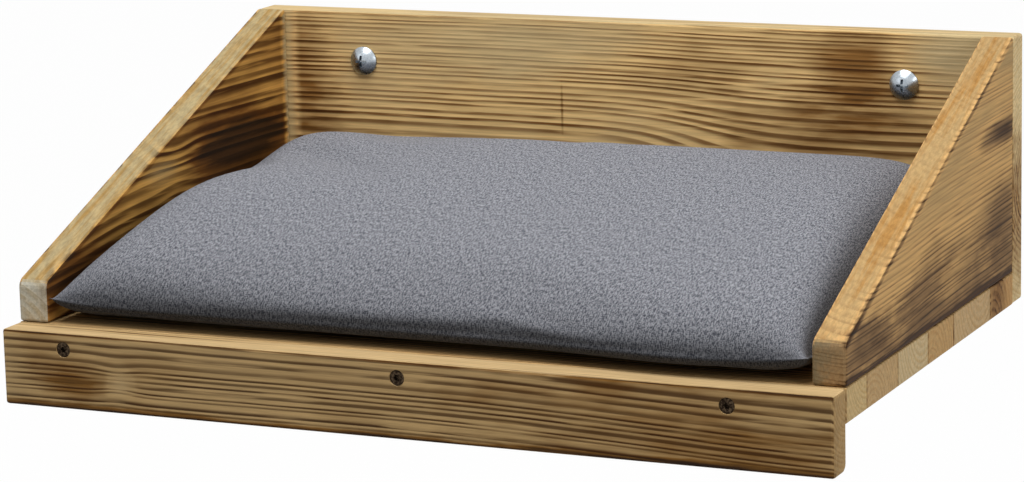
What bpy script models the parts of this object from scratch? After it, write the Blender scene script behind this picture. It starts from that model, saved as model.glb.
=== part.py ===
"""Cat wall shelf: a tray of flamed pine boards that hangs on two wall screws, with a loose cushion.

Metres, +Z up. +X runs along the wall, to the right for someone who faces the shelf, and +Y runs into
the wall. The origin lies on the wall face, on the shelf's centre line, at the height of the wall screws.
"""

from collections import namedtuple
from math import asin, cos, exp, pi, radians, sin

import bmesh
import bpy
from mathutils import Vector

# Boards
SHELF_WIDTH = 0.500
BOARD = 0.019  # thickness of every board
BED_DEPTH = 0.302  # clear depth between the front rail and the back panel
BACK_RISE = 0.141  # how far the back panel stands above the bed
SIDE_NOSE = 0.024  # height of a side panel's front end
SIDE_CREST = 0.003  # level stretch of a side panel's top, behind its slope
RAIL_HEIGHT = 0.044
STAVE_WIDTHS = (0.033, 0.052, 0.053, 0.047, 0.071)  # front to back, before the one that fills the bed
LEAST_STAVE = 0.015  # a narrower rest stays on the stave before it
SEAT = 0.0003  # glue line, or the play between two pieces that touch

# Rounding of the boards
EDGE_ROUND = 0.0016
NOSE_ROUND = 0.004  # top front corner of a side panel
HEEL_ROUND = 0.0045  # lower rear edge of the front rail
STAVE_ARRIS = 0.0005
SHARP_EDGE = radians(40)

# Countersunk wood screws, with a six-lobed recess
SCREW_LENGTH = 0.040
SCREW_SHANK_R = 0.0021
SCREW_HEAD_R = 0.0043
SCREW_LIP = 0.0004  # straight rim above the cone
SCREW_SINK = 0.0004  # the head's depth below the board's face
SCREW_POINT = 0.007
LOBES = 6
LOBE_R = 0.0017
LOBE_SWELL = 0.00025
LOBE_DEPTH = 0.0020
LOBE_TAPER = 0.85
SCREW_SIDES = 16
WAY_OVERSHOOT = 0.005  # how far a screw's way is cut past the face that it enters or leaves
RECESS_START = 0.0004  # how far above a head its recess is cut from

# Dome-headed wall screws, with a cross recess
WALL_SCREW_LENGTH = 0.060  # under the head
WALL_SHANK_R = 0.003
WALL_HEAD_R = 0.009
WALL_HEAD_RIM = 0.0010
WALL_HEAD_HEIGHT = 0.0052
WALL_POINT = 0.010
CROSS_SPAN = 0.0076
CROSS_SLOT = 0.0017
CROSS_DEPTH = 0.0030
CROSS_TAPER = 0.6
WALL_SIDES = 32
DOME_RINGS = 6

# Screw places
WALL_SCREW_DROP = 0.031  # below the back panel's top edge
WALL_SCREW_INSETS = (0.074, 0.067)  # from the left and the right end of the back panel
RAIL_SCREW_INSETS = (0.040, 0.059)  # from the left and the right end of the rail
BACK_SCREW_INSET = 0.060  # from the ends of the back panel, into the bed's rear edge
SIDE_SCREW_RISE = 0.040  # lower screw into a side panel's rear edge, above the bed
SIDE_SCREW_DROP = 0.030  # upper screw into a side panel's rear edge, below the top edge

# Cushion
CUSHION_SIDE_PLAY = 0.0015
CUSHION_HEAD_PLAY = 0.0015  # between the cushion and the wall screws' heads
SEAM_RISE = 0.0047  # height of the seam above the bed, at the middle of a side
CORNER_RISE = 0.0090  # how much higher the seam runs at the corners
CUSHION_CROWN = 0.0608  # rise of the top above the seam, in the middle
REAR_LIFT = 0.348  # the filling has moved to the back, by this share of the crown
REAR_FALL = -0.221  # and less towards both ends
TOP_SQUARENESS = (15.2, 13.3)  # of the top across and front to back: 2 is an ellipse, more is a box
TOP_FALL = 0.53  # how soon the top falls to the seam: less is sooner
FOOT_SQUARENESS = (12, 8)
FOOT_FALL = 0.55
HUMP = ((-0.82, -0.27), (0.35, 0.54), 0.0047)  # place and spread in the half sizes, and rise
HOLLOW = ((-0.69, 0.36), (0.35, 0.34), -0.0078)
CLOTH = 0.0012
FILLING_PLAY = 0.0006  # between the filling and its cover
SEAM_WAIST = (0.0055, 0.0118)  # how far the seam is drawn in at the middle of the sides and ends
CUSHION_COLUMNS = 20
CUSHION_ROWS = 14

# Levels and planes that follow from the sizes above
BACK_TOP = WALL_SCREW_DROP
BED_TOP = BACK_TOP - BACK_RISE
BED_BOTTOM = BED_TOP - BOARD
BED_MIDDLE = BED_TOP - BOARD / 2
BACK_FACE = -BOARD
BED_REAR = BACK_FACE - SEAT
RAIL_REAR = BACK_FACE - BED_DEPTH
BED_FRONT = RAIL_REAR + SEAT
RAIL_FACE = RAIL_REAR - BOARD
HALF_WIDTH = SHELF_WIDTH / 2
SIDE_MIDDLE = HALF_WIDTH - BOARD / 2

PINE = (0.50, 0.31, 0.14)
PALE_PINE = (0.62, 0.43, 0.22)
DARK_PINE = (0.36, 0.20, 0.085)
BLACK_STEEL = (0.08, 0.07, 0.06)
ZINC = (0.75, 0.77, 0.78)
GREY_CLOTH = (0.22, 0.23, 0.26)
FIBRE = (0.85, 0.85, 0.83)

Screw = namedtuple("Screw", "name at drive shape")
ScrewShape = namedtuple("ScrewShape", "mesh way reach radius")


def clear_scene():
    for obj in list(bpy.data.objects):
        bpy.data.objects.remove(obj, do_unlink=True)


def material(name, colour, roughness, metallic=0.0):
    mat = bpy.data.materials.new(name)
    mat.use_nodes = True
    shader = mat.node_tree.nodes["Principled BSDF"]
    shader.inputs["Base Color"].default_value = (*colour, 1.0)
    shader.inputs["Roughness"].default_value = roughness
    shader.inputs["Metallic"].default_value = metallic
    mat.diffuse_color = (*colour, 1.0)
    return mat


def empty(name, location=(0, 0, 0)):
    holder = bpy.data.objects.new(name, None)
    holder.location = location
    bpy.context.collection.objects.link(holder)
    return holder


def finished_mesh(name, bm):
    """The mesh of bm, with its faces pointing out and its round stretches shaded smooth."""
    bmesh.ops.recalc_face_normals(bm, faces=bm.faces)
    if bm.calc_volume(signed=True) < 0:
        bmesh.ops.reverse_faces(bm, faces=bm.faces)
    mesh = bpy.data.meshes.new(name)
    bm.to_mesh(mesh)
    bm.free()
    mesh.shade_smooth()
    mesh.set_sharp_from_angle(angle=SHARP_EDGE)
    return mesh


def place(name, mesh, parent, at, mat):
    """An object of this mesh under parent, with its origin at the world point at."""
    obj = bpy.data.objects.new(name, mesh)
    bpy.context.collection.objects.link(obj)
    obj.parent = parent
    obj.location = Vector(at) - parent.location
    if not mesh.materials:
        mesh.materials.append(None)
    obj.material_slots[0].link = "OBJECT"
    obj.material_slots[0].material = mat
    return obj


# Boards


def round_edges(bm, edges, radius, segments):
    bmesh.ops.bevel(
        bm, geom=edges, offset=radius, segments=segments, profile=0.5, affect="EDGES"
    )


def round_sharp_edges(bm, radius, segments=2):
    sharp = [e for e in bm.edges if e.calc_face_angle() > SHARP_EDGE]
    round_edges(bm, sharp, radius, segments)


def block(size):
    """A box of this size about its own centre."""
    bm = bmesh.new()
    bmesh.ops.create_cube(bm, size=1.0)
    bmesh.ops.scale(bm, vec=size, verts=bm.verts)
    return bm


def board_between(low, high):
    """A box and its centre, from two opposite corners."""
    low, high = Vector(low), Vector(high)
    return block(high - low), (low + high) / 2


def front_rail(parent):
    bm, centre = board_between(
        (-HALF_WIDTH, RAIL_FACE, BED_TOP - RAIL_HEIGHT), (HALF_WIDTH, RAIL_REAR, BED_TOP)
    )
    heel = [
        e for e in bm.edges if all(v.co.y > 0 and v.co.z < 0 for v in e.verts)
    ]
    round_edges(bm, heel, HEEL_ROUND, 4)
    round_sharp_edges(bm, EDGE_ROUND)
    mat = material("front_rail", PINE, 0.6)
    return place("front_rail", finished_mesh("front_rail", bm), parent, centre, mat)


def back_panel(parent):
    bm, centre = board_between(
        (-HALF_WIDTH, BACK_FACE, BED_BOTTOM), (HALF_WIDTH, 0, BACK_TOP)
    )
    round_sharp_edges(bm, EDGE_ROUND)
    mat = material("back_panel", PINE, 0.6)
    return place("back_panel", finished_mesh("back_panel", bm), parent, centre, mat)


def stave_seams():
    """The bed's seams, front to back, each stave at its own width until the bed is full."""
    seams = [BED_FRONT]
    for width in STAVE_WIDTHS:
        if seams[-1] + width + LEAST_STAVE > BED_REAR:
            break
        seams.append(seams[-1] + width)
    return seams + [BED_REAR + SEAT]


def bed_staves(parent):
    """The edge-glued staves of the bed, with a glue line between each two."""
    seams = stave_seams()
    staves = []
    for number, (front, rear) in enumerate(zip(seams, seams[1:]), start=1):
        bm, centre = board_between(
            (-HALF_WIDTH, front, BED_BOTTOM), (HALF_WIDTH, rear - SEAT, BED_TOP)
        )
        round_sharp_edges(bm, STAVE_ARRIS, 1)
        name = f"bed_stave_{number}"
        mat = material(name, DARK_PINE if number % 2 else PINE, 0.65)
        staves.append(place(name, finished_mesh(name, bm), parent, centre, mat))
    return staves


def side_profile():
    """A side panel's outline in Y and Z from its lower front corner: nose, slope, crest and heel."""
    length = BED_REAR - BED_FRONT
    height = BACK_RISE - SEAT
    nose = SIDE_NOSE - SEAT
    return [
        (0, 0),
        (length, 0),
        (length, height),
        (length - SIDE_CREST, height),
        (0, nose),
    ]


def side_panel(name, side, parent):
    bm = bmesh.new()
    outline = [bm.verts.new((-BOARD / 2, y, z)) for y, z in side_profile()]
    face = bm.faces.new(outline)
    walls = bmesh.ops.extrude_face_region(bm, geom=[face])["geom"]
    moved = [v for v in walls if isinstance(v, bmesh.types.BMVert)]
    bmesh.ops.translate(bm, vec=(BOARD, 0, 0), verts=moved)
    bmesh.ops.recalc_face_normals(bm, faces=bm.faces)
    nose = [
        e for e in bm.edges if all(v.co.y == 0 and v.co.z > 0 for v in e.verts)
    ]
    round_edges(bm, nose, NOSE_ROUND, 4)
    round_sharp_edges(bm, EDGE_ROUND)
    mat = material(name, PALE_PINE, 0.6)
    corner = (side * SIDE_MIDDLE, BED_FRONT, BED_TOP + SEAT)
    return place(name, finished_mesh(name, bm), parent, corner, mat)


# Screws


def turned(profile, sides):
    """A closed solid of revolution about Z from its half outline of (radius, height) points."""
    bm = bmesh.new()
    verts = [bm.verts.new((radius, 0, height)) for radius, height in profile]
    edges = [bm.edges.new(pair) for pair in zip(verts, verts[1:])]
    bmesh.ops.spin(
        bm, geom=verts + edges, cent=(0, 0, 0), axis=(0, 0, 1), angle=2 * pi, steps=sides
    )
    bmesh.ops.remove_doubles(bm, verts=bm.verts, dist=1e-6)
    return bm


def prism(outline, top, bottom, taper):
    """A closed prism over an outline of (x, y) points, its lower end scaled by taper."""
    bm = bmesh.new()
    face = bm.faces.new([bm.verts.new((x, y, top)) for x, y in outline])
    walls = bmesh.ops.extrude_face_region(bm, geom=[face])["geom"]
    moved = [v for v in walls if isinstance(v, bmesh.types.BMVert)]
    bmesh.ops.scale(bm, vec=(taper, taper, 1), verts=moved)
    bmesh.ops.translate(bm, vec=(0, 0, bottom - top), verts=moved)
    return bm


def lobed_star():
    """The star of a lobed recess, four points to a lobe."""
    points = 4 * LOBES
    angles = [2 * pi * i / points for i in range(points)]
    reach = [LOBE_R + LOBE_SWELL * cos(LOBES * a) for a in angles]
    return [(r * cos(a), r * sin(a)) for r, a in zip(reach, angles)]


def cross_slots():
    """The outline of a cross of two slots."""
    arm, half = CROSS_SPAN / 2, CROSS_SLOT / 2
    quarter = [(arm, -half), (arm, half), (half, half)]
    turns = [(cos(pi / 2 * i), sin(pi / 2 * i)) for i in range(4)]
    return [(c * x - s * y, s * x + c * y) for c, s in turns for x, y in quarter]


def cut_once(name, bm, cutter_bm):
    """The mesh of bm after a cut, so that all copies of a screw share it."""
    body = bpy.data.objects.new("blank", finished_mesh("blank", bm))
    cutter = bpy.data.objects.new("recess", finished_mesh("recess", cutter_bm))
    for obj in (body, cutter):
        bpy.context.collection.objects.link(obj)
    cut = body.modifiers.new("recess", "BOOLEAN")
    cut.object = cutter
    graph = bpy.context.evaluated_depsgraph_get()
    mesh = bpy.data.meshes.new_from_object(body.evaluated_get(graph))
    mesh.name = name
    for obj in (body, cutter):
        bpy.data.objects.remove(obj, do_unlink=True)
    return mesh


def wood_screw_shape():
    top = -SCREW_SINK
    tip = top - SCREW_LENGTH
    cone_top = top - SCREW_LIP
    cone_foot = cone_top - (SCREW_HEAD_R - SCREW_SHANK_R)
    outline = [
        (0, top),
        (SCREW_HEAD_R, top),
        (SCREW_HEAD_R, cone_top),
        (SCREW_SHANK_R, cone_foot),
        (SCREW_SHANK_R, tip + SCREW_POINT),
        (0, tip),
    ]
    way = [
        (0, WAY_OVERSHOOT),
        (SCREW_HEAD_R + SEAT, WAY_OVERSHOOT),
        (SCREW_HEAD_R + SEAT, cone_top),
        (SCREW_SHANK_R + SEAT, cone_foot),
        (SCREW_SHANK_R + SEAT, tip + SCREW_POINT - SEAT),
        (0, tip - 2 * SEAT),
    ]
    recess = prism(lobed_star(), top + RECESS_START, top - LOBE_DEPTH, LOBE_TAPER)
    mesh = cut_once("wood_screw", turned(outline, SCREW_SIDES), recess)
    way_mesh = finished_mesh("wood_screw_way", turned(way, SCREW_SIDES))
    return ScrewShape(mesh, way_mesh, SCREW_LENGTH, SCREW_HEAD_R + SEAT)


def dome_outline():
    """The dome of a wall screw's head, from its crown to its rim."""
    sagitta = WALL_HEAD_HEIGHT - WALL_HEAD_RIM
    radius = (WALL_HEAD_R**2 + sagitta**2) / (2 * sagitta)
    centre = WALL_HEAD_HEIGHT - radius
    edge = asin(WALL_HEAD_R / radius)
    angles = [edge * i / DOME_RINGS for i in range(DOME_RINGS + 1)]
    return [(radius * sin(a), centre + radius * cos(a)) for a in angles]


def wall_screw_shape():
    outline = [(r, height + SEAT) for r, height in dome_outline()]
    outline += [
        (WALL_HEAD_R, SEAT),
        (WALL_SHANK_R, SEAT),
        (WALL_SHANK_R, SEAT - WALL_SCREW_LENGTH + WALL_POINT),
        (0, SEAT - WALL_SCREW_LENGTH),
    ]
    crown = WALL_HEAD_HEIGHT + SEAT
    recess = prism(cross_slots(), crown + RECESS_START, crown - CROSS_DEPTH, CROSS_TAPER)
    mesh = cut_once("wall_screw", turned(outline, WALL_SIDES), recess)
    reach = BOARD + WAY_OVERSHOOT
    way = [
        (0, WAY_OVERSHOOT),
        (WALL_SHANK_R + SEAT, WAY_OVERSHOOT),
        (WALL_SHANK_R + SEAT, -reach),
        (0, -reach),
    ]
    way_mesh = finished_mesh("wall_screw_way", turned(way, WALL_SIDES))
    return ScrewShape(mesh, way_mesh, reach, WALL_SHANK_R + SEAT)


def bed_screw_places():
    """Where the screws from below stand in Y: in the middle of every second stave."""
    seams = stave_seams()
    middles = [(front + rear - SEAT) / 2 for front, rear in zip(seams, seams[1:])]
    return middles[1::2]


def screw_list(wood, wall):
    """Every screw: its name, the point where its axis enters the board, and its driving direction."""
    into_wall, out_of_wall, up = Vector((0, 1, 0)), Vector((0, -1, 0)), Vector((0, 0, 1))
    ends = (("left", -1), ("right", 1))
    screws = []
    for (end, side), inset in zip(ends, RAIL_SCREW_INSETS):
        at = (side * (HALF_WIDTH - inset), RAIL_FACE, BED_MIDDLE)
        screws.append(Screw(f"rail_screw_{end}", at, into_wall, wood))
    screws.append(Screw("rail_screw_middle", (0, RAIL_FACE, BED_MIDDLE), into_wall, wood))
    for end, side in ends:
        at = (side * (HALF_WIDTH - BACK_SCREW_INSET), 0, BED_MIDDLE)
        screws.append(Screw(f"back_screw_{end}", at, out_of_wall, wood))
        for number, y in enumerate(bed_screw_places(), start=1):
            at = (side * SIDE_MIDDLE, y, BED_BOTTOM)
            screws.append(Screw(f"bed_screw_{end}_{number}", at, up, wood))
        for level, z in (
            ("low", BED_TOP + SIDE_SCREW_RISE),
            ("high", BACK_TOP - SIDE_SCREW_DROP),
        ):
            at = (side * SIDE_MIDDLE, 0, z)
            screws.append(Screw(f"side_screw_{end}_{level}", at, out_of_wall, wood))
    screws.append(Screw("back_screw_middle", (0, 0, BED_MIDDLE), out_of_wall, wood))
    for (end, side), inset in zip(ends, WALL_SCREW_INSETS):
        at = (side * (HALF_WIDTH - inset), BACK_FACE, 0)
        screws.append(Screw(f"wall_screw_{end}", at, into_wall, wall))
    return screws


def meets(board, screw):
    """Whether the way of a screw passes through a board's box."""
    start = Vector(screw.at)
    end = start + screw.drive * screw.shape.reach
    corners = [board.matrix_world @ Vector(c) for c in board.bound_box]
    for axis in range(3):
        low, high = min(c[axis] for c in corners), max(c[axis] for c in corners)
        near, far = sorted((start[axis], end[axis]))
        if far + screw.shape.radius < low or near - screw.shape.radius > high:
            return False
    return True


def drive_screws(screws, boards, parent):
    """Place each screw, and bore its way through every board that it meets."""
    for screw in screws:
        steel = ZINC if screw.name.startswith("wall") else BLACK_STEEL
        mat = material(screw.name, steel, 0.3, metallic=0.9)
        obj = place(screw.name, screw.shape.mesh, parent, screw.at, mat)
        turn = (-screw.drive).to_track_quat("Z", "Y").to_euler()
        obj.rotation_euler = turn
        way = bpy.data.objects.new(f"{screw.name}_way", screw.shape.way)
        bpy.context.collection.objects.link(way)
        way.parent = parent
        way.location = obj.location
        way.rotation_euler = turn
        way.hide_render = True
        way.display_type = "WIRE"
        for board in boards:
            if meets(board, screw):
                bore = board.modifiers.new(screw.name, "BOOLEAN")
                bore.object = way


# Cushion


def seam_rise(u, v):
    """The seam above the bed, for u and v from -1 to 1 across and front to back."""
    return SEAM_RISE + CORNER_RISE * (u * v) ** 6


def box_fall(u, v, squareness, fall):
    """1 in the middle of a stuffed rectangle, and 0 at its seam."""
    across, along = squareness
    return max((1 - abs(u) ** across) * (1 - abs(v) ** along), 0) ** fall


def top_level(u, v, seam, inset):
    """The top of the cushion over its seam, inset below the outer cloth."""
    lift = CUSHION_CROWN * (1 + REAR_LIFT * v + REAR_FALL * v * v)
    for (x, y), (wide, long), rise in (HUMP, HOLLOW):
        lift += rise * exp(-(((u - x) / wide) ** 2) - ((v - y) / long) ** 2)
    return seam + box_fall(u, v, TOP_SQUARENESS, TOP_FALL) * (lift - inset)


def foot_level(u, v, seam, inset):
    """The underside of the cushion: flat on the bed, and round towards the seam."""
    return seam - box_fall(u, v, FOOT_SQUARENESS, FOOT_FALL) * (seam - SEAT - inset)


def half_pillow(bm, half_width, half_depth, level, seat, inset):
    """One side of a stuffed rectangle, from seat above its seam. The bed is at Z zero."""
    grid = []
    side_waist, end_waist = SEAM_WAIST
    for column in range(CUSHION_COLUMNS + 1):
        u = sin(pi * (column / CUSHION_COLUMNS - 0.5))
        line = []
        for row in range(CUSHION_ROWS + 1):
            v = sin(pi * (row / CUSHION_ROWS - 0.5))
            x = (half_width - inset) * u * (1 - side_waist * (1 - v * v))
            y = (half_depth - inset) * v * (1 - end_waist * (1 - u * u))
            seam = seam_rise(x / half_width, y / half_depth) + seat
            line.append(bm.verts.new((x, y, level(u, v, seam, inset))))
        grid.append(line)
    for near, far in zip(grid, grid[1:]):
        for a, b, c, d in zip(near, far, far[1:], near[1:]):
            bm.faces.new((a, b, c, d))
    return grid


def rim_of(grid):
    """The outer vertices of a grid in order, as a closed loop."""
    sides = [line[0] for line in grid] + grid[-1][1:]
    return sides + [line[-1] for line in grid[-2::-1]] + grid[0][-2:0:-1]


def cover_half(half_width, half_depth, level, seat):
    """One half of the cover: cloth over half a pillow, open at its seam."""
    bm = bmesh.new()
    outer = rim_of(half_pillow(bm, half_width, half_depth, level, seat, 0))
    inner = rim_of(half_pillow(bm, half_width, half_depth, level, seat, CLOTH))
    for a, b, c, d in zip(outer, outer[1:] + outer[:1], inner[1:] + inner[:1], inner):
        bm.faces.new((a, b, c, d))
    return bm


def filling(half_width, half_depth):
    """The stuffing: two half pillows that share their seam."""
    bm = bmesh.new()
    half_pillow(bm, half_width, half_depth, top_level, 0, CLOTH + FILLING_PLAY)
    half_pillow(bm, half_width, half_depth, foot_level, 0, CLOTH + FILLING_PLAY)
    bmesh.ops.remove_doubles(bm, verts=bm.verts, dist=1e-6)
    return bm


def cushion():
    half_width = HALF_WIDTH - BOARD - CUSHION_SIDE_PLAY
    rear = BACK_FACE - SEAT - WALL_HEAD_HEIGHT - CUSHION_HEAD_PLAY
    half_depth = (rear - RAIL_REAR) / 2
    holder = empty("cushion_lift", (0, (rear + RAIL_REAR) / 2, BED_TOP))
    halves = (
        ("cushion_cover_top", top_level, SEAT / 2),
        ("cushion_cover_bottom", foot_level, -SEAT / 2),
    )
    for name, level, seat in halves:
        mesh = finished_mesh(name, cover_half(half_width, half_depth, level, seat))
        place(name, mesh, holder, holder.location, material(name, GREY_CLOTH, 0.95))
    mesh = finished_mesh("cushion_filling", filling(half_width, half_depth))
    place("cushion_filling", mesh, holder, holder.location, material("cushion_filling", FIBRE, 1.0))


def build():
    clear_scene()
    shelf = empty("shelf")
    boards = [
        front_rail(shelf),
        *bed_staves(shelf),
        side_panel("side_panel_left", -1, shelf),
        side_panel("side_panel_right", 1, shelf),
        back_panel(shelf),
    ]
    bpy.context.view_layer.update()
    screws = screw_list(wood_screw_shape(), wall_screw_shape())
    drive_screws(screws, boards, shelf)
    cushion()


build()
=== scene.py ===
# %% [markdown]
# # A cat wall shelf of flamed pine, with a grey cushion
# The shelf is a tray of 19 mm pine boards that were scorched with a flame, brushed, and screwed
# together. It hangs on two dome-headed screws, and a loose cushion lies in it.
#
# The boards were modelled before this script, at their real size, and come in as a fixed frame.
# What is made here is what the eye judges: the growth rings and burn marks of each board, the
# screws with their recesses and threads, and the stuffed cushion. Everything is in metres. X runs
# along the wall, Y into the wall, Z up, and the origin is on the wall between the two wall screws.

from math import cos, exp, pi, radians, sin

import bmesh
import bpy
from mathutils import Matrix, Vector


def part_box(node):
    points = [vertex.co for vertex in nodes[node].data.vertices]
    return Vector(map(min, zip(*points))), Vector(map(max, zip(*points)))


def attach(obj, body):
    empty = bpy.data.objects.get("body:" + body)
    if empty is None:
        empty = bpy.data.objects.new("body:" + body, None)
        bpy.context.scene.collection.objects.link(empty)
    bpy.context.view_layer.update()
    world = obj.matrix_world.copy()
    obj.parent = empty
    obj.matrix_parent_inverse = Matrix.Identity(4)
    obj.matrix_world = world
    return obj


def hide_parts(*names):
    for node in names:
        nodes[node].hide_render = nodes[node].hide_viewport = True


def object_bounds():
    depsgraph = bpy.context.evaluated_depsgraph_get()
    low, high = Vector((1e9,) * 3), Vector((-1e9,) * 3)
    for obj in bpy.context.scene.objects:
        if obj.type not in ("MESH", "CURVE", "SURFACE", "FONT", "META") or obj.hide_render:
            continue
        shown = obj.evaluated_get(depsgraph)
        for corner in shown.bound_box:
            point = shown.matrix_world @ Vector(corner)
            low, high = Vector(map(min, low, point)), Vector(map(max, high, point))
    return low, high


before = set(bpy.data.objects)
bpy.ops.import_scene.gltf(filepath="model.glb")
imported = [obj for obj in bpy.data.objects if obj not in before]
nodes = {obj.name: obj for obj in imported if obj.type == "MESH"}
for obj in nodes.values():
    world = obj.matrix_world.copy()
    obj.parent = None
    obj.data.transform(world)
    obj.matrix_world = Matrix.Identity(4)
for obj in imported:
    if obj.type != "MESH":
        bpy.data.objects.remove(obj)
cad_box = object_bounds()
print("the frame holds", len(nodes), "nodes in", [round(v, 4) for v in cad_box[1] - cad_box[0]])

# %% [markdown]
# ## The camera
# The picture was taken from the right and a little above, with a long lens from about two metres:
# the shelf's edges run almost parallel. A camera is easiest to describe by where it stands, the
# point it looks at, how far it leans to one side, and its lens. Leaning is a turn about the view
# axis, so it is added after the camera has been aimed.

# %% Place the camera
CAMERA_PLACE = Vector((0.8383, -2.0215, 0.3348))
CAMERA_AIM = Vector((-0.0069, -0.1700, -0.0772))
CAMERA_LEAN = radians(-1.39)
LENS_MM = 125.3


def aimed(place, aim):
    """The turn that points an object's own -Z from place to aim, with its Y upwards."""
    return (aim - place).to_track_quat("-Z", "Y")


lens = bpy.data.cameras.new("camera")
lens.lens = LENS_MM
lens.clip_start = 0.1
lens.clip_end = 50
camera = bpy.data.objects.new("camera", lens)
camera.location = CAMERA_PLACE
camera.rotation_mode = "QUATERNION"
camera.rotation_quaternion = aimed(CAMERA_PLACE, CAMERA_AIM) @ Matrix.Rotation(
    CAMERA_LEAN, 3, "Z"
).to_quaternion()
bpy.context.scene.collection.objects.link(camera)
bpy.context.scene.camera = camera
bpy.context.scene.view_settings.view_transform = "Standard"
print("camera", round((CAMERA_AIM - CAMERA_PLACE).length, 3), "m from what it looks at")

# %% [markdown]
# ## Small helpers for node trees
# A material is a graph of nodes. Writing each node, setting and link on its own line hides the
# idea, so these helpers let one line say one step: take these values, do this, hand on the result.
# A plug may be a number, a colour, or another node's output, which is then linked.

# %% Colours, plugs and nodes
def srgb(red, green, blue):
    """A colour as a picture shows it, from 0 to 255, in the linear values that shaders use."""
    shares = [value / 255 for value in (red, green, blue)]
    return (*[s / 12.92 if s <= 0.04045 else ((s + 0.055) / 1.055) ** 2.4 for s in shares], 1.0)


def plug_in(tree, socket, plug):
    """Give a socket its value, or link it to the output that makes its value."""
    if isinstance(plug, bpy.types.NodeSocket):
        tree.links.new(plug, socket)
    elif plug is not None:
        socket.default_value = plug


def add_node(tree, kind, plugs=(), **settings):
    """A node with its settings, and with its first inputs plugged in order."""
    node = tree.nodes.new(kind)
    for name, value in settings.items():
        setattr(node, name, value)
    for socket, plug in zip([s for s in node.inputs if s.enabled], plugs):
        plug_in(tree, socket, plug)
    return node


WHITE = (1.0, 1.0, 1.0, 1.0)
print("a picture's grey of 128 is", round(srgb(128, 128, 128)[0], 3), "to a shader")

# %% One line for each step
def maths(tree, operation, *plugs, clamp=False):
    return add_node(tree, "ShaderNodeMath", plugs, operation=operation, use_clamp=clamp).outputs[0]


def vectors(tree, operation, *plugs):
    node = add_node(tree, "ShaderNodeVectorMath", plugs, operation=operation)
    return next(s for s in node.outputs if s.enabled)


def ramp_between(tree, value, low, high, start=0.0, end=1.0):
    """value from low to high as a smooth rise from start to end, flat on both sides."""
    plugs = (value, low, high, start, end)
    node = add_node(tree, "ShaderNodeMapRange", plugs, interpolation_type="SMOOTHSTEP")
    return node.outputs[0]


def mixed(tree, share, first, second, mode="MIX"):
    """Two colours mixed: none of the second at a share of 0, all of it at 1."""
    plugs = (share, first, second)
    node = add_node(tree, "ShaderNodeMix", plugs, data_type="RGBA", blend_type=mode)
    return next(s for s in node.outputs if s.enabled)


def tinted(tree, colour, tint):
    return mixed(tree, 1.0, colour, tint, "MULTIPLY")


def noise(tree, vector, scale, detail=2.0, roughness=0.5, output="Fac", **settings):
    """Smooth noise. A scale of three numbers stretches it by a different amount each way."""
    if isinstance(scale, tuple):
        vector, scale = vectors(tree, "MULTIPLY", vector, scale), 1.0
    node = add_node(tree, "ShaderNodeTexNoise", **settings)
    place = "W" if node.noise_dimensions == "1D" else "Vector"
    plugs = {place: vector, "Scale": scale, "Detail": detail, "Roughness": roughness}
    for name, plug in plugs.items():
        plug_in(tree, node.inputs[name], plug)
    return node.outputs[output]


def coordinate(tree, vector, axis):
    return add_node(tree, "ShaderNodeSeparateXYZ", [vector]).outputs[axis]


def object_place(tree):
    return tree.nodes.new("ShaderNodeTexCoord").outputs["Object"]


def object_normal(tree):
    return tree.nodes.new("ShaderNodeTexCoord").outputs["Normal"]


def add_bump(tree, shader, height, strength, depth):
    """Bend the shader's normals, as a relief of this depth in metres would."""
    bump = add_node(tree, "ShaderNodeBump")
    plugs = {"Strength": strength, "Distance": depth, "Height": height}
    for name, plug in plugs.items():
        plug_in(tree, bump.inputs[name], plug)
    plug_in(tree, shader.inputs["Normal"], bump.outputs[0])


print("helpers for maths, vectors, colours, noise and relief are ready")

# %% Groups and materials
KINDS = {"value": "NodeSocketFloat", "colour": "NodeSocketColor", "vector": "NodeSocketVector"}


def new_group(name, takes, gives):
    """An empty node group. takes and gives list the names of its sockets by their kind."""
    tree = bpy.data.node_groups.new(name, "ShaderNodeTree")
    for side, kinds in (("INPUT", takes), ("OUTPUT", gives)):
        for kind, labels in kinds.items():
            for label in labels.split(", "):
                tree.interface.new_socket(name=label, in_out=side, socket_type=KINDS[kind])
    return tree, tree.nodes.new("NodeGroupInput").outputs, tree.nodes.new("NodeGroupOutput").inputs


def use_group(tree, group, **plugs):
    """A group placed in a tree. Spaces in its sockets' names are written as underscores."""
    node = add_node(tree, "ShaderNodeGroup", node_tree=group)
    for name, plug in plugs.items():
        plug_in(tree, node.inputs[name.replace("_", " ")], plug)
    return node.outputs


def new_material(name, **shader_values):
    """A material, its tree and its shader, whose plain values are set on the shader itself."""
    material = bpy.data.materials.new(name)
    material.use_nodes = True
    shader = material.node_tree.nodes["Principled BSDF"]
    for label, value in shader_values.items():
        shader.inputs[label.replace("_", " ")].default_value = value
    return material, material.node_tree, shader


def give_finish(obj, material):
    """Put one material on every slot of an object."""
    if not obj.material_slots:
        obj.data.materials.append(None)
    for slot in obj.material_slots:
        slot.link = "OBJECT"
        slot.material = material


print("a group's sockets are of", len(KINDS), "kinds:", ", ".join(KINDS))

# %% [markdown]
# ## Growth rings
# Pine shows its growth rings: each year a pale soft band that ends in a thin dark one. On a board
# they are lines, arches or arcs, depending on how the board lay in the trunk. They could be drawn
# as stripes on each face, but the stripes wouldn't meet at the corners. So the trunk itself is
# made: the distance from its pith, divided by the width of a ring, counts the rings at any point
# in space, and each face of a board simply shows where it cuts them.
#
# A real trunk isn't straight. It leans against the board's length, bends at some place, flows
# round knots, and each ring is a little wavy. All of these shift the pith before the distance is
# taken. Rings also get narrower as a tree ages, which is counted after it.

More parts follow.
